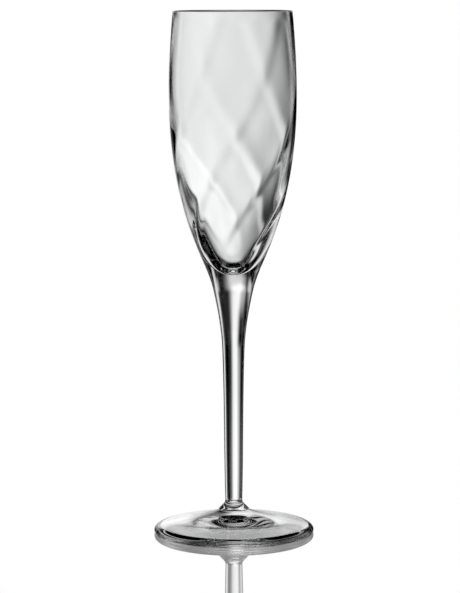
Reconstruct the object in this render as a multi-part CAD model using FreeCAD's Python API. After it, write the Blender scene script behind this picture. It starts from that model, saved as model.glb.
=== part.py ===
"""Champagne flute in clear glass: bowl, drawn stem, stem collar and foot, fused end to end.

Millimetres, +Z up. The origin is on the table plane at the centre of the foot's resting ring. The outlines
are (radius, height) curves turned about the Z axis, and the bowl's cavity carries a swirl optic.
"""

import FreeCAD, Part

import math
import os

# Heights of the rim, the belly and the fused joints
RIM_HEIGHT = 235.0  # table to the top of the rim
BELLY_HEIGHT = 197.4  # where the bowl is widest
BOWL_BASE = 109.7  # joint between the bowl's solid base and the stem
STEM_BASE = 15.0  # joint between the stem and the collar
COLLAR_BASE = 10.45  # joint between the collar and the foot
RIM_WALL = 1.45  # thickness of the fire-polished rim bead

# Outside of the glass above the collar: (height, radius, slope of the radius against the height)
STEM_FOOT = (STEM_BASE, 3.86, 0.028)
STEM_NECK = (83.6, 5.03, 0.037)
STEM_TOP = (BOWL_BASE, 8.83, 0.221)
BOWL_TAPER = (125.3, 14.50, 0.440)
BOWL_BELLY = (BELLY_HEIGHT, 28.50, 0.0)
BOWL_LIP = (RIM_HEIGHT - RIM_WALL / 2, 26.68, -0.09)

# Cavity of the bowl, before the optic grooves
CAVITY_FLOOR = 118.9
FLOOR_ROUNDING = 4.8  # how far the floor runs level before it turns up
CAVITY_BEND = (130.5, 10.73, 0.50)
CAVITY_BELLY = (BELLY_HEIGHT, 27.42, 0.0)
CAVITY_LIP = (BOWL_LIP[0], BOWL_LIP[1] - RIM_WALL, BOWL_LIP[2])

# Swirl optic: narrow grooves in the cavity wall that climb to the right as they rise
GROOVES = 6
GROOVE_SHARPNESS = 4  # power that narrows the grooves and broadens the pillows between them
GROOVE_LEAN = 0.35  # makes the side of a groove that faces the climb steeper than the other
GROOVE_DEPTH_HIGH = 0.16  # depth where the wall is thin
GROOVE_DEPTH_LOW = 0.36  # depth where the wall is thick
THIN_WALL_HEIGHT = 200.0
THICK_WALL_HEIGHT = 150.0
GROOVE_BOTTOM = 124.3
GROOVE_TOP = 231.9
FADE_AT_BOTTOM = 18.0  # height over which the grooves deepen from nothing
FADE_AT_TOP = 6.0
FRONT_CROSSING = 181.6  # height at which a groove crosses the front of the bowl
TWIST_RATE = 1.216  # degrees per millimetre at that height
TWIST_SLOWING = 0.01448  # how much that rate drops per millimetre further up

# Control net of the cavity surface, and how it meets the plain inside of the rim
POLES_PER_GROOVE = 16
FLOOR_ROWS = 8
WALL_ROWS = 24
DEGREE = 3
CAVITY_TOP = 232.4
RIM_OVERLAP = 1.0  # the inside of the rim starts this much lower than the cavity surface ends
RIM_INSET = 0.05  # and is this much smaller, so that the two surfaces never coincide

# Collar
COLLAR_RADIUS = 6.8  # at its widest, just above the foot
COLLAR_LIP = 0.45  # rounding of its lower edge, which leaves a crease against the foot
CONE_RUN = (1.1, 1.4)  # inwards and upwards: how the cone sets off from that edge
COLLAR_FLARE = 1.7  # how far the stem's line runs on down before the collar flares

# Foot
FOOT_RADIUS = 36.15
FOOT_WIDEST_HEIGHT = 1.3
SHOULDER = (33.2, 3.76)  # where the sloping top meets the rounded edge
SHOULDER_SLOPE = -0.27
SHOULDER_RUN = 1.7  # how far the top's line runs on into the rounded edge
EDGE_RUN = 1.05  # how far the rounded edge stays upright above its widest height
SEAT_RADIUS = COLLAR_RADIUS - COLLAR_LIP  # face of the foot that the collar is fused to
SEAT_SLOPE = -0.40  # slope of the top where it leaves the collar
REST_OUTER = 34.8  # flat ring that stands on the table
REST_INNER = 33.0
HOLLOW_HEIGHT = 4.0  # height of the hollow under the foot
HOLLOW_CROWN = 15.0  # half width of the nearly level top of the hollow


def point(radius, height):
    return FreeCAD.Vector(radius, 0, height)


def line(start, end):
    return Part.LineSegment(point(*start), point(*end)).toShape()


def arc(start, middle, end):
    return Part.Arc(point(*start), point(*middle), point(*end)).toShape()


def bezier_curve(*poles):
    curve = Part.BezierCurve()
    curve.setPoles([point(*pole) for pole in poles])
    return curve


def bezier(*poles):
    return bezier_curve(*poles).toShape()


def span(start, end):
    """Edge between two (height, radius, slope) stations, its radius a cubic function of the height."""
    third = (end[0] - start[0]) / 3
    return bezier(
        (start[1], start[0]),
        (start[1] + start[2] * third, start[0] + third),
        (end[1] - end[2] * third, end[0] - third),
        (end[1], end[0]),
    )


def span_radius(start, end, height):
    """Radius at a height on the same cubic as span."""
    rise = end[0] - start[0]
    t = (height - start[0]) / rise
    return (
        (2 * t**3 - 3 * t**2 + 1) * start[1]
        + (t**3 - 2 * t**2 + t) * rise * start[2]
        + (3 * t**2 - 2 * t**3) * end[1]
        + (t**3 - t**2) * rise * end[2]
    )


def turned(*edges):
    """Solid of revolution about the Z axis from a closed chain of edges."""
    face = Part.Face(Part.Wire(edges))
    return face.revolve(FreeCAD.Vector(0, 0, 0), FreeCAD.Vector(0, 0, 1), 360)


def smooth_step(t):
    t = min(max(t, 0.0), 1.0)
    return t * t * (3 - 2 * t)


def groove_depth(height):
    """Depth of the optic grooves: deepest low in the bowl, and gone at the cavity floor and the rim."""
    grown = smooth_step((height - GROOVE_BOTTOM) / FADE_AT_BOTTOM)
    left = smooth_step((GROOVE_TOP - height) / FADE_AT_TOP)
    thick = smooth_step((THIN_WALL_HEIGHT - height) / (THIN_WALL_HEIGHT - THICK_WALL_HEIGHT))
    depth = GROOVE_DEPTH_HIGH + (GROOVE_DEPTH_LOW - GROOVE_DEPTH_HIGH) * thick
    return depth * grown * left


def twist(height):
    """Degrees, counter-clockwise from above, that a groove has turned from the front of the bowl."""
    rise = height - FRONT_CROSSING
    return TWIST_RATE * rise - TWIST_SLOWING * rise * rise / 2


def wall_radius(height):
    if height < BELLY_HEIGHT:
        return span_radius(CAVITY_BEND, CAVITY_BELLY, height)
    return span_radius(CAVITY_BELLY, CAVITY_LIP, height)


def floor_outline():
    """(radius, height) points up the rounded floor of the cavity, from its flat centre to the wall."""
    bend_height, bend_radius, bend_slope = CAVITY_BEND
    half_rise = (bend_height - CAVITY_FLOOR) / 2
    curve = bezier_curve(
        (0, CAVITY_FLOOR),
        (FLOOR_ROUNDING, CAVITY_FLOOR),
        (bend_radius - bend_slope * half_rise, bend_height - half_rise),
        (bend_radius, bend_height),
    )
    places = [curve.value(row / FLOOR_ROWS) for row in range(1, FLOOR_ROWS)]
    return [(places[0].x, CAVITY_FLOOR)] + [(place.x, place.z) for place in places[1:]]


def wall_outline():
    """(radius, height) points up the wall of the cavity, to the inside of the rim."""
    step = (CAVITY_TOP - CAVITY_BEND[0]) / (WALL_ROWS - 1)
    heights = [CAVITY_BEND[0] + row * step for row in range(WALL_ROWS)]
    return [(wall_radius(height), height) for height in heights]


def net_row(radius, height):
    """Ring of poles round the cavity at one height, starting on a groove and let out at each groove."""
    count = GROOVES * POLES_PER_GROOVE
    pole_lift = 3 / (2 + math.cos(2 * math.pi / count))  # a cubic ring lies this much inside its poles
    row = []
    for index in range(count):
        phase = 2 * math.pi * index / POLES_PER_GROOVE
        leaning = phase + GROOVE_LEAN * (1 - math.cos(phase))
        groove = ((1 + math.cos(leaning)) / 2) ** GROOVE_SHARPNESS
        reach = pole_lift * (radius + groove_depth(height) * groove)
        angle = phase / GROOVES + math.radians(twist(height) - 90)
        row.append(FreeCAD.Vector(reach * math.cos(angle), reach * math.sin(angle), height))
    return row


def cavity():
    """Solid that fills the bowl: one smooth surface over the net of rows, closed by two flat discs."""
    net = [net_row(radius, height) for radius, height in floor_outline() + wall_outline()]
    inner_knots = len(net) - DEGREE - 1
    spans_around = len(net[0])
    surface = Part.BSplineSurface()
    surface.buildFromPolesMultsKnots(
        net,
        [DEGREE + 1] + [1] * inner_knots + [DEGREE + 1],
        [1] * (spans_around + 1),
        list(range(inner_knots + 2)),
        list(range(spans_around + 1)),
        False,
        True,
        DEGREE,
        DEGREE,
    )
    side = surface.toShape()
    rings = [edge for edge in side.Edges if edge.isClosed()]
    discs = [Part.Face(Part.Wire(ring)) for ring in rings]
    shell = Part.makeShell([side] + discs)
    shell.sewShape()
    return Part.makeSolid(shell)


def rim_blank():
    """Outside of the bowl with the rim rolled over, solid up to just below the rim."""
    fill_height = CAVITY_TOP - RIM_OVERLAP
    fill_radius = wall_radius(fill_height) - RIM_INSET
    lip_height, lip_radius = BOWL_LIP[:2]
    inner_lip = (CAVITY_LIP[1] - RIM_INSET, lip_height)
    return turned(
        line((0, BOWL_BASE), (STEM_TOP[1], BOWL_BASE)),
        span(STEM_TOP, BOWL_TAPER),
        span(BOWL_TAPER, BOWL_BELLY),
        span(BOWL_BELLY, BOWL_LIP),
        arc((lip_radius, lip_height), (lip_radius - RIM_WALL / 2, RIM_HEIGHT), inner_lip),
        line(inner_lip, (fill_radius, fill_height)),
        line((fill_radius, fill_height), (0, fill_height)),
        line((0, fill_height), (0, BOWL_BASE)),
    )


def bowl():
    return rim_blank().cut(cavity()).Solids[0]


def stem():
    """Drawn stem, which swells smoothly towards the bowl."""
    return turned(
        line((0, STEM_BASE), (STEM_FOOT[1], STEM_BASE)),
        span(STEM_FOOT, STEM_NECK),
        span(STEM_NECK, STEM_TOP),
        line((STEM_TOP[1], BOWL_BASE), (0, BOWL_BASE)),
        line((0, BOWL_BASE), (0, STEM_BASE)),
    )


def collar():
    """Cone of glass that joins the stem to the foot."""
    stem_radius, stem_slope = STEM_FOOT[1:]
    lip_top = (COLLAR_RADIUS, COLLAR_BASE + COLLAR_LIP)
    return turned(
        line((0, COLLAR_BASE), (SEAT_RADIUS, COLLAR_BASE)),
        bezier((SEAT_RADIUS, COLLAR_BASE), (COLLAR_RADIUS, COLLAR_BASE), lip_top),
        bezier(
            lip_top,
            (lip_top[0] - CONE_RUN[0], lip_top[1] + CONE_RUN[1]),
            (stem_radius - stem_slope * COLLAR_FLARE, STEM_BASE - COLLAR_FLARE),
            (stem_radius, STEM_BASE),
        ),
        line((stem_radius, STEM_BASE), (0, STEM_BASE)),
        line((0, STEM_BASE), (0, COLLAR_BASE)),
    )


def foot():
    """Disc foot with a sloping top, a rounded edge and a hollow underneath."""
    shoulder_radius, shoulder_height = SHOULDER
    third = (shoulder_radius - SEAT_RADIUS) / 3
    widest = (FOOT_RADIUS, FOOT_WIDEST_HEIGHT)
    return turned(
        line((0, COLLAR_BASE), (SEAT_RADIUS, COLLAR_BASE)),
        bezier(
            (SEAT_RADIUS, COLLAR_BASE),
            (SEAT_RADIUS + third, COLLAR_BASE + SEAT_SLOPE * third),
            (shoulder_radius - third, shoulder_height - SHOULDER_SLOPE * third),
            SHOULDER,
        ),
        bezier(
            SHOULDER,
            (shoulder_radius + SHOULDER_RUN, shoulder_height + SHOULDER_SLOPE * SHOULDER_RUN),
            (FOOT_RADIUS, FOOT_WIDEST_HEIGHT + EDGE_RUN),
            widest,
        ),
        bezier(widest, (FOOT_RADIUS, 0), (REST_OUTER, 0)),
        line((REST_OUTER, 0), (REST_INNER, 0)),
        bezier((REST_INNER, 0), (HOLLOW_CROWN, HOLLOW_HEIGHT), (0, HOLLOW_HEIGHT)),
        line((0, HOLLOW_HEIGHT), (0, COLLAR_BASE)),
    )


os.makedirs("parts", exist_ok=True)
for make in (bowl, stem, collar, foot):
    make().exportStep(f"parts/{make.__name__}.step")
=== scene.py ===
"""Champagne flute in clear glass with a swirl optic, standing on a pale glossy table in soft studio light.

Metres, +Z up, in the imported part's frame. The flute's four fused pieces are turned here as dense glass
meshes from the sizes of the CAD nodes, and each replaces its node.
"""

import math

import bpy
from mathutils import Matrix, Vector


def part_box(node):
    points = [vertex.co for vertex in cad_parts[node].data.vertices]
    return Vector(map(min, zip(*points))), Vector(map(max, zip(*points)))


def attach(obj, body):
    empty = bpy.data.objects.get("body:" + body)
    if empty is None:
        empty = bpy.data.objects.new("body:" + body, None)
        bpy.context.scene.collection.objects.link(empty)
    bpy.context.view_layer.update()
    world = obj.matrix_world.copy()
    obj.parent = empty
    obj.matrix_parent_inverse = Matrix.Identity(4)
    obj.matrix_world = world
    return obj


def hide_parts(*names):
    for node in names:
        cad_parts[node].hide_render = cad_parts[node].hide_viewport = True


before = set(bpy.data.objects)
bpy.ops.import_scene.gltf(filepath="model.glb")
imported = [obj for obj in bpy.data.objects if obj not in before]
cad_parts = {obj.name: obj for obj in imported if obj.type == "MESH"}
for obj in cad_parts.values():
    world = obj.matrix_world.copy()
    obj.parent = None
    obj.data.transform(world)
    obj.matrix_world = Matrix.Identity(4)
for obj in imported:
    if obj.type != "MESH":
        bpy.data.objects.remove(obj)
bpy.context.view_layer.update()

MM = 0.001

# Sizes read from the frame
bowl_low, bowl_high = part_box("bowl")
stem_low, stem_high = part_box("stem")
collar_low, collar_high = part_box("collar")
foot_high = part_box("foot")[1]

RIM_HEIGHT = bowl_high.z
BOWL_BASE = bowl_low.z
STEM_BASE = stem_low.z
COLLAR_BASE = collar_low.z
BELLY_RADIUS = bowl_high.x
STEM_TOP_RADIUS = stem_high.x
COLLAR_RADIUS = collar_high.x
FOOT_RADIUS = foot_high.x

# Outside above the collar: (height, radius, slope of the radius against the height)
RIM_WALL = 1.45 * MM  # thickness of the fire-polished rim bead
BELLY_HEIGHT = 197.4 * MM  # where the bowl is widest
STEM_FOOT = (STEM_BASE, 3.86 * MM, 0.028)
STEM_NECK = (83.6 * MM, 5.03 * MM, 0.037)
STEM_TOP = (BOWL_BASE, STEM_TOP_RADIUS, 0.221)
BOWL_TAPER = (125.3 * MM, 14.50 * MM, 0.440)
BOWL_BELLY = (BELLY_HEIGHT, BELLY_RADIUS, 0.0)
BOWL_LIP = (RIM_HEIGHT - RIM_WALL / 2, 26.68 * MM, -0.09)

# Cavity of the bowl, before the optic grooves
CAVITY_FLOOR = 118.9 * MM
FLOOR_ROUNDING = 4.8 * MM  # how far the floor runs level before it turns up
CAVITY_BEND = (130.5 * MM, 10.73 * MM, 0.50)
CAVITY_BELLY = (BELLY_HEIGHT, BELLY_RADIUS - 1.08 * MM, 0.0)
CAVITY_LIP = (BOWL_LIP[0], BOWL_LIP[1] - RIM_WALL, BOWL_LIP[2])

# Swirl optic: narrow grooves in the cavity wall that climb to the right as they rise
GROOVES = 6
GROOVE_SHARPNESS = 4  # power that narrows the grooves and broadens the pillows between them
GROOVE_LEAN = 0.35  # makes the side of a groove that faces the climb steeper than the other
GROOVE_DEPTH_HIGH = 0.16 * MM
GROOVE_DEPTH_LOW = 0.36 * MM
THIN_WALL_HEIGHT = 200.0 * MM  # above this the wall is thin and the grooves are shallow
THICK_WALL_HEIGHT = 150.0 * MM
GROOVE_BOTTOM = 124.3 * MM
GROOVE_TOP = 234.0 * MM
FADE_AT_BOTTOM = 18.0 * MM  # height over which the grooves deepen from nothing
FADE_AT_TOP = 6.0 * MM
FRONT_CROSSING = 181.6 * MM  # height at which a groove crosses the front of the bowl
TWIST_RATE = 1.216 / MM  # degrees per metre at that height
TWIST_SLOWING = 0.01448 / MM**2  # how much that rate drops per metre further up

# Collar and foot
COLLAR_LIP = 0.45 * MM  # rounding of the collar's lower edge, which leaves a crease against the foot
CONE_RUN = (1.1 * MM, 1.4 * MM)  # inwards and upwards: how the cone sets off from that edge
COLLAR_FLARE = 1.7 * MM  # how far the stem's line runs on down before the collar flares
FOOT_WIDEST_HEIGHT = 1.3 * MM
SHOULDER = (33.2 * MM, 3.76 * MM)  # where the sloping top meets the rounded edge
SHOULDER_SLOPE = -0.27
SHOULDER_RUN = 1.7 * MM  # how far the top's line runs on into the rounded edge
EDGE_RUN = 1.05 * MM  # how far the rounded edge stays upright above its widest height
SEAT_RADIUS = COLLAR_RADIUS - COLLAR_LIP  # face of the foot that the collar is fused to
SEAT_SLOPE = -0.40  # slope of the top where it leaves the collar
REST_OUTER = 34.8 * MM  # flat ring that stands on the table
REST_INNER = 33.0 * MM
HOLLOW_HEIGHT = 4.0 * MM
HOLLOW_CROWN = 15.0 * MM  # half width of the nearly level top of the hollow

# Mesh density
AROUND = 288  # points round every ring
ROW_HEIGHT = 0.45 * MM  # spacing of the rings along an outline
FINE_ROW = 0.15 * MM  # and along tight curves
DISC_ROW = 2.0 * MM  # and across the flat fused faces
SMOOTH_ANGLE = math.radians(35)  # steeper edges stay crisp
AXIS_RADIUS = 1e-9  # a point nearer the axis than this is on it
SAME_HEIGHT = 1e-7  # heights closer than this are equal

# Clear glass: its surface waves are a few thousandths of a millimetre deep and about 17 mm long
GLASS_IOR = 1.52
WAVES_PER_METRE = 60.0
WAVE_DEPTH = 0.004 * MM
COOL_TINT = (0.985, 0.995, 0.99, 1)
CLEAR_TINT = (0.995, 1.0, 0.997, 1)
WHITE = (1, 1, 1, 1)

# Soft lights round the flute in degrees: azimuth from straight behind it and half width, elevation
# and half width, then brightness
LIGHTS = (
    (-5.2, 8.5, 3.0, 7.8, 1.0),  # back panel
    (-20.0, 8.0, 10.0, 4.5, 0.45),  # its spill to the left
    (-6.0, 14.0, 15.5, 5.0, 0.72),  # taller and wider panel behind it
    (47.0, 6.0, 20.0, 21.0, 0.95),  # tall narrow strip on the right
    (127.0, 27.0, 9.0, 3.6, 0.50),  # right fill, towards the camera's side
    (-135.0, 32.0, 24.0, 6.0, 0.45),  # left fill
)
RING_STEP = 45.0  # a ring of weaker panels repeats every this many degrees
RING_PANEL = (0.0, 9.0, 17.0, 5.3, 0.72)
SIDE_POWER = 3  # how sharply a panel ends at its sides
RISE_POWER = 4  # and at its top and bottom
FIRST_BOUNCE = 2.5  # on the world, Ray Depth is 2 after one bounce and 3 after two
LEVEL = 0.5  # sine of the elevation up to which the table mirrors plain white to the eye

# Table. Through the glass it shows white only where it is looked at squarely, given as 1 less the
# cosine of the angle from straight down: where the white is full, and where it is gone
SQUARE_ON = (0.05, 0.12)
TABLE_ROUGHNESS = 0.03  # too small to blur, and enough to tell the table's mirror from the glass's
TABLE_HALF_SIZE = 30.0
TABLE_DROP = 0.02 * MM  # keeps the table top clear of the foot's resting ring

# Camera, in front of the flute and just above its rim
CAMERA_DISTANCE = 1148.9 * MM
CAMERA_ABOVE_RIM = 11.5 * MM
CAMERA_TO_LEFT = 1.06 * MM
CAMERA_DOWN = 6.904  # degrees below level
CAMERA_ROLL = 0.16  # degrees
FOCAL_LENGTH = 156.6  # millimetres, as the sensor
SENSOR = 36.0

# Light has to cross many glass surfaces before it leaves the flute
GLASS_BOUNCES = 24
MIRROR_BOUNCES = 12


def bezier(poles, spacing):
    """(radius, height) points evenly along a Bezier curve, without its last point."""
    degree = len(poles) - 1
    length = sum(math.dist(a, b) for a, b in zip(poles, poles[1:]))
    count = max(2, round(length / spacing))
    points = []
    for index in range(count):
        t = index / count
        weights = [math.comb(degree, k) * t**k * (1 - t) ** (degree - k) for k in range(degree + 1)]
        points.append(tuple(sum(w * pole[axis] for w, pole in zip(weights, poles)) for axis in (0, 1)))
    return points


def span(start, end, spacing=ROW_HEIGHT):
    """Points between two (height, radius, slope) stations, the radius a cubic function of the height."""
    third = (end[0] - start[0]) / 3
    poles = [
        (start[1], start[0]),
        (start[1] + start[2] * third, start[0] + third),
        (end[1] - end[2] * third, end[0] - third),
        (end[1], end[0]),
    ]
    return bezier(poles, spacing)


def straight(start, end, spacing=ROW_HEIGHT):
    return bezier([start, end], spacing)


def half_round(start, end):
    """Points over the top of the rim, from the outer lip to the inner one, without the last."""
    centre = ((start[0] + end[0]) / 2, start[1])
    radius = (start[0] - end[0]) / 2
    count = round(math.pi * radius / FINE_ROW)
    angles = [math.pi * index / count for index in range(count)]
    return [(centre[0] + radius * math.cos(a), centre[1] + radius * math.sin(a)) for a in angles]


def smooth_step(t):
    t = min(max(t, 0.0), 1.0)
    return t * t * (3 - 2 * t)


def groove_depth(height):
    """Depth of the optic grooves: deepest low in the bowl, and gone at the cavity floor and the rim."""
    grown = smooth_step((height - GROOVE_BOTTOM) / FADE_AT_BOTTOM)
    left = smooth_step((GROOVE_TOP - height) / FADE_AT_TOP)
    thick = smooth_step((THIN_WALL_HEIGHT - height) / (THIN_WALL_HEIGHT - THICK_WALL_HEIGHT))
    depth = GROOVE_DEPTH_HIGH + (GROOVE_DEPTH_LOW - GROOVE_DEPTH_HIGH) * thick
    return depth * grown * left


def twist(height):
    """Degrees, counter-clockwise from above, that a groove has turned from the front of the bowl."""
    rise = height - FRONT_CROSSING
    return TWIST_RATE * rise - TWIST_SLOWING * rise * rise / 2


def grooved(radius, height, angle):
    """Radius of the cavity wall once the optic grooves are cut into it."""
    phase = GROOVES * (angle - math.radians(twist(height) - 90))
    leaning = phase + GROOVE_LEAN * (1 - math.cos(phase))
    groove = ((1 + math.cos(leaning)) / 2) ** GROOVE_SHARPNESS
    return radius + groove_depth(height) * groove


def plain(radius, height, angle):
    return radius


def turn(name, outline, fused_heights, cavity_from=None):
    """Closed glass mesh turned from an outline that starts and ends on the axis.

    Faces that lie flat at a fused height become the seam inside the glass. Points of the outline from
    index cavity_from on belong to the cavity and take the grooves.
    """
    verts = []
    rows = []
    for index, (radius, height) in enumerate(outline):
        if radius < AXIS_RADIUS:
            rows.append([len(verts)])
            verts.append((0.0, 0.0, height))
            continue
        shape = grooved if cavity_from is not None and index >= cavity_from else plain
        rows.append(list(range(len(verts), len(verts) + AROUND)))
        for step in range(AROUND):
            angle = 2 * math.pi * step / AROUND
            reach = shape(radius, height, angle)
            verts.append((reach * math.cos(angle), reach * math.sin(angle), height))
    faces = []
    for lower, upper in zip(rows, rows[1:]):
        for step in range(AROUND):
            following = (step + 1) % AROUND
            corners = [lower[step % len(lower)], lower[following % len(lower)]]
            corners += [upper[following % len(upper)], upper[step % len(upper)]]
            faces.append(tuple(dict.fromkeys(corners)))
    mesh = bpy.data.meshes.new(name)
    mesh.from_pydata(verts, [], faces)
    mesh.materials.append(glass)
    mesh.materials.append(seam)
    for face in mesh.polygons:
        heights = [verts[corner][2] for corner in face.vertices]
        fused = any(max(abs(h - level) for h in heights) < SAME_HEIGHT for level in fused_heights)
        face.material_index = 1 if fused else 0
    mesh.polygons.foreach_set("use_smooth", [True] * len(mesh.polygons))
    mesh.set_sharp_from_angle(angle=SMOOTH_ANGLE)
    piece = bpy.data.objects.new(name, mesh)
    bpy.context.scene.collection.objects.link(piece)
    return piece


def bowl():
    """Slim cup with a solid base, a rolled rim and the swirl optic on the inside."""
    lip_height, lip_radius = BOWL_LIP[:2]
    inner_lip = (CAVITY_LIP[1], lip_height)
    bend_height, bend_radius, bend_slope = CAVITY_BEND
    half_rise = (bend_height - CAVITY_FLOOR) / 2
    outside = (
        straight((0, BOWL_BASE), (STEM_TOP_RADIUS, BOWL_BASE), DISC_ROW)
        + span(STEM_TOP, BOWL_TAPER)
        + span(BOWL_TAPER, BOWL_BELLY)
        + span(BOWL_BELLY, BOWL_LIP)
        + half_round((lip_radius, lip_height), inner_lip)
    )
    floor_poles = [
        (bend_radius, bend_height),
        (bend_radius - bend_slope * half_rise, bend_height - half_rise),
        (FLOOR_ROUNDING, CAVITY_FLOOR),
        (0, CAVITY_FLOOR),
    ]
    inside = (
        span(CAVITY_LIP, CAVITY_BELLY)
        + span(CAVITY_BELLY, CAVITY_BEND)
        + bezier(floor_poles, ROW_HEIGHT)
        + [(0, CAVITY_FLOOR)]
    )
    return turn("bowl_glass", outside + inside, [BOWL_BASE], cavity_from=len(outside))


def stem():
    """Drawn stem, which swells smoothly towards the bowl."""
    outline = (
        straight((0, STEM_BASE), (STEM_FOOT[1], STEM_BASE), DISC_ROW)
        + span(STEM_FOOT, STEM_NECK)
        + span(STEM_NECK, STEM_TOP)
        + straight((STEM_TOP_RADIUS, BOWL_BASE), (0, BOWL_BASE), DISC_ROW)
        + [(0, BOWL_BASE)]
    )
    return turn("stem_glass", outline, [STEM_BASE, BOWL_BASE])


def collar():
    """Cone of glass that joins the stem to the foot."""
    stem_radius, stem_slope = STEM_FOOT[1:]
    lip_top = (COLLAR_RADIUS, COLLAR_BASE + COLLAR_LIP)
    lip_poles = [(SEAT_RADIUS, COLLAR_BASE), (COLLAR_RADIUS, COLLAR_BASE), lip_top]
    cone_poles = [
        lip_top,
        (lip_top[0] - CONE_RUN[0], lip_top[1] + CONE_RUN[1]),
        (stem_radius - stem_slope * COLLAR_FLARE, STEM_BASE - COLLAR_FLARE),
        (stem_radius, STEM_BASE),
    ]
    outline = (
        straight((0, COLLAR_BASE), (SEAT_RADIUS, COLLAR_BASE), DISC_ROW)
        + bezier(lip_poles, FINE_ROW)
        + bezier(cone_poles, FINE_ROW)
        + straight((stem_radius, STEM_BASE), (0, STEM_BASE), DISC_ROW)
        + [(0, STEM_BASE)]
    )
    return turn("collar_glass", outline, [COLLAR_BASE, STEM_BASE])


def foot():
    """Disc foot with a sloping top, a rounded edge and a shallow hollow underneath."""
    shoulder_radius, shoulder_height = SHOULDER
    third = (shoulder_radius - SEAT_RADIUS) / 3
    widest = (FOOT_RADIUS, FOOT_WIDEST_HEIGHT)
    edge_start = (shoulder_radius + SHOULDER_RUN, shoulder_height + SHOULDER_SLOPE * SHOULDER_RUN)
    top_poles = [
        (SEAT_RADIUS, COLLAR_BASE),
        (SEAT_RADIUS + third, COLLAR_BASE + SEAT_SLOPE * third),
        (shoulder_radius - third, shoulder_height - SHOULDER_SLOPE * third),
        SHOULDER,
    ]
    edge_poles = [SHOULDER, edge_start, (FOOT_RADIUS, FOOT_WIDEST_HEIGHT + EDGE_RUN), widest]
    outline = (
        [(0, HOLLOW_HEIGHT)]
        + bezier([(0, HOLLOW_HEIGHT), (HOLLOW_CROWN, HOLLOW_HEIGHT), (REST_INNER, 0)], ROW_HEIGHT)[1:]
        + straight((REST_INNER, 0), (REST_OUTER, 0))
        + bezier([(REST_OUTER, 0), (FOOT_RADIUS, 0), widest], FINE_ROW)
        + bezier(edge_poles[::-1], FINE_ROW)
        + bezier(top_poles[::-1], ROW_HEIGHT)
        + straight((SEAT_RADIUS, COLLAR_BASE), (0, COLLAR_BASE), DISC_ROW)
        + [(0, COLLAR_BASE)]
    )
    return turn("foot_glass", outline, [COLLAR_BASE])


def new_material(name):
    """Material with an empty node tree and its Material Output node."""
    material = bpy.data.materials.new(name)
    material.use_nodes = True
    material.node_tree.nodes.clear()
    return material, material.node_tree, material.node_tree.nodes.new("ShaderNodeOutputMaterial")


def clear_glass():
    """Nearly colourless glass with the faint waviness of a fire-polished surface."""
    material, tree, output = new_material("clear_glass")
    shader = tree.nodes.new("ShaderNodeBsdfPrincipled")
    shader.inputs["Transmission Weight"].default_value = 1.0
    shader.inputs["IOR"].default_value = GLASS_IOR
    shader.inputs["Roughness"].default_value = 0.0
    place = tree.nodes.new("ShaderNodeTexCoord")
    waves = tree.nodes.new("ShaderNodeTexNoise")
    waves.inputs["Scale"].default_value = WAVES_PER_METRE
    waves.inputs["Detail"].default_value = 1.0
    tree.links.new(place.outputs["Object"], waves.inputs["Vector"])
    bump = tree.nodes.new("ShaderNodeBump")
    bump.inputs["Distance"].default_value = WAVE_DEPTH
    tree.links.new(waves.outputs["Fac"], bump.inputs["Height"])
    tree.links.new(bump.outputs["Normal"], shader.inputs["Normal"])
    tint = tree.nodes.new("ShaderNodeMix")
    tint.data_type = "RGBA"
    tint.inputs["A"].default_value = COOL_TINT
    tint.inputs["B"].default_value = CLEAR_TINT
    tree.links.new(waves.outputs["Fac"], tint.inputs["Factor"])
    tree.links.new(tint.outputs["Result"], shader.inputs["Base Color"])
    tree.links.new(shader.outputs["BSDF"], output.inputs["Surface"])
    return material


def fused_seam():
    """Inside face where two pieces are fused: no surface is left there, so light passes straight through."""
    material, tree, output = new_material("fused_seam")
    shader = tree.nodes.new("ShaderNodeBsdfTransparent")
    tree.links.new(shader.outputs["BSDF"], output.inputs["Surface"])
    return material


def math_node(tree, operation, *values):
    """Math node whose inputs are numbers or other nodes' outputs; gives its output."""
    node = tree.nodes.new("ShaderNodeMath")
    node.operation = operation
    for socket, value in zip(node.inputs, values):
        if isinstance(value, bpy.types.NodeSocket):
            tree.links.new(value, socket)
        else:
            socket.default_value = value
    return node.outputs[0]


def bell(tree, value, centre, width, power):
    """Bell curve of a value about its centre, 1 at the top; a higher power flattens the top."""
    offset = math_node(tree, "ABSOLUTE", math_node(tree, "SUBTRACT", value, centre))
    share = math_node(tree, "POWER", math_node(tree, "DIVIDE", offset, width), power)
    return math_node(tree, "EXPONENT", math_node(tree, "MULTIPLY", share, -0.5))


def soft_panel(tree, azimuth, elevation, panel):
    """Brightness of one soft light in the direction looked at."""
    side, side_width, rise, rise_width, brightness = panel
    across = bell(tree, azimuth, side, side_width, SIDE_POWER)
    upward = bell(tree, elevation, rise, rise_width, RISE_POWER)
    return math_node(tree, "MULTIPLY", math_node(tree, "MULTIPLY", across, brightness), upward)


def panel_light(tree, east, north, up):
    """Brightness of all the soft lights in a direction; the lower half of the studio mirrors the upper."""
    azimuth = math_node(tree, "MULTIPLY", math_node(tree, "ARCTAN2", east, north), 180 / math.pi)
    height = math_node(tree, "ABSOLUTE", up)
    elevation = math_node(tree, "MULTIPLY", math_node(tree, "ARCSINE", height), 180 / math.pi)
    panels = 0.0
    for panel in LIGHTS:
        panels = math_node(tree, "ADD", soft_panel(tree, azimuth, elevation, panel), panels)
    folded = math_node(tree, "PINGPONG", azimuth, RING_STEP / 2)
    ring = soft_panel(tree, folded, elevation, RING_PANEL)
    return math_node(tree, "MAXIMUM", panels, ring)


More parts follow.
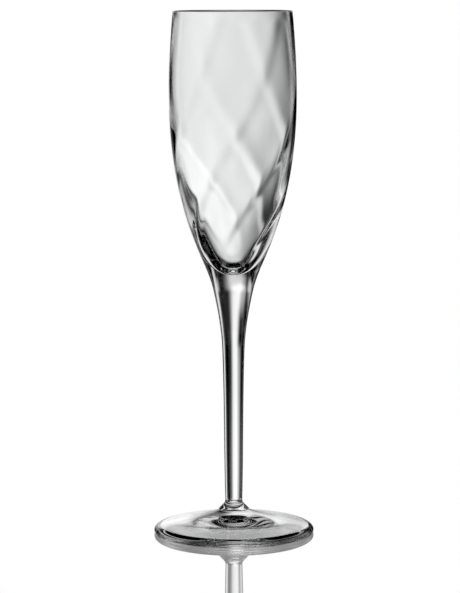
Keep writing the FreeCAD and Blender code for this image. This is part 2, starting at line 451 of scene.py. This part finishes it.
def white_backdrop(tree, up):
    """1 for the eye, and for its first reflection in the table, and 0 for all other light.

    The glass's own reflections are perfectly sharp and the table's are not quite, which tells them apart.
    """
    path = tree.nodes.new("ShaderNodeLightPath")
    first = math_node(tree, "LESS_THAN", path.outputs["Ray Depth"], FIRST_BOUNCE)
    not_sharp = math_node(tree, "SUBTRACT", 1.0, path.outputs["Is Singular Ray"])
    in_table = math_node(tree, "MULTIPLY", not_sharp, first)
    low = math_node(tree, "LESS_THAN", up, LEVEL)
    above = math_node(tree, "GREATER_THAN", up, 0.0)
    in_table = math_node(tree, "MULTIPLY", in_table, math_node(tree, "MULTIPLY", low, above))
    return math_node(tree, "MAXIMUM", path.outputs["Is Camera Ray"], in_table)


def studio_light():
    """Soft panels that shine into the glass, round a backdrop that is plain white to the eye."""
    world = bpy.data.worlds.new("studio")
    bpy.context.scene.world = world
    world.use_nodes = True
    tree = world.node_tree
    tree.nodes.clear()
    direction = tree.nodes.new("ShaderNodeTexCoord")
    axes = tree.nodes.new("ShaderNodeSeparateXYZ")
    tree.links.new(direction.outputs["Generated"], axes.inputs[0])
    east, north, up = axes.outputs
    strength = math_node(tree, "MAXIMUM", panel_light(tree, east, north, up), white_backdrop(tree, up))
    background = tree.nodes.new("ShaderNodeBackground")
    background.inputs["Color"].default_value = WHITE
    tree.links.new(strength, background.inputs["Strength"])
    output = tree.nodes.new("ShaderNodeOutputWorld")
    tree.links.new(background.outputs[0], output.inputs["Surface"])


def table_finish():
    """Polished white table top: bright to the eye, and a mirror at low angles.

    Through the glass it shows white only from well above, as the glass mostly sees the studio in it.
    """
    material, tree, output = new_material("table_top")
    slant = tree.nodes.new("ShaderNodeLayerWeight")
    slant.inputs["Blend"].default_value = 0.5
    square_on = tree.nodes.new("ShaderNodeMapRange")
    square_on.inputs["From Min"].default_value = SQUARE_ON[1]
    square_on.inputs["From Max"].default_value = SQUARE_ON[0]
    tree.links.new(slant.outputs["Facing"], square_on.inputs["Value"])
    path = tree.nodes.new("ShaderNodeLightPath")
    through_glass = math_node(tree, "SUBTRACT", 1.0, path.outputs["Is Camera Ray"])
    pure_mirror = math_node(tree, "SUBTRACT", through_glass, square_on.outputs["Result"])
    mirrored = math_node(tree, "MAXIMUM", slant.outputs["Facing"], pure_mirror)
    glow = tree.nodes.new("ShaderNodeEmission")
    glow.inputs["Strength"].default_value = 1.0
    mirror = tree.nodes.new("ShaderNodeBsdfGlossy")
    mirror.inputs["Color"].default_value = WHITE
    mirror.inputs["Roughness"].default_value = TABLE_ROUGHNESS
    mix = tree.nodes.new("ShaderNodeMixShader")
    tree.links.new(mirrored, mix.inputs["Fac"])
    tree.links.new(glow.outputs[0], mix.inputs[1])
    tree.links.new(mirror.outputs[0], mix.inputs[2])
    tree.links.new(mix.outputs[0], output.inputs["Surface"])
    return material


def table():
    """Table top as one large square just under the flute."""
    signs = [(-1, -1), (1, -1), (1, 1), (-1, 1)]
    corners = [(x * TABLE_HALF_SIZE, y * TABLE_HALF_SIZE, -TABLE_DROP) for x, y in signs]
    mesh = bpy.data.meshes.new("table")
    mesh.from_pydata(corners, [], [(0, 1, 2, 3)])
    mesh.materials.append(table_finish())
    top = bpy.data.objects.new("table", mesh)
    bpy.context.scene.collection.objects.link(top)


def camera():
    """Long lens in front of the flute, just above the rim and tilted down."""
    lens = bpy.data.cameras.new("camera")
    lens.sensor_width = SENSOR
    lens.lens = FOCAL_LENGTH
    eye = bpy.data.objects.new("camera", lens)
    eye.location = (-CAMERA_TO_LEFT, -CAMERA_DISTANCE, RIM_HEIGHT + CAMERA_ABOVE_RIM)
    eye.rotation_euler = (math.radians(90 - CAMERA_DOWN), math.radians(CAMERA_ROLL), 0)
    bpy.context.scene.collection.objects.link(eye)
    bpy.context.scene.camera = eye


camera()
studio_light()
table()
glass = clear_glass()
seam = fused_seam()
for make in (bowl, stem, collar, foot):
    piece = make()
    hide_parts(make.__name__)
    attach(piece, "root")

scene = bpy.context.scene
scene.view_settings.view_transform = "Standard"
scene.cycles.max_bounces = GLASS_BOUNCES
scene.cycles.transmission_bounces = GLASS_BOUNCES
scene.cycles.glossy_bounces = MIRROR_BOUNCES
scene.cycles.transparent_max_bounces = GLASS_BOUNCES
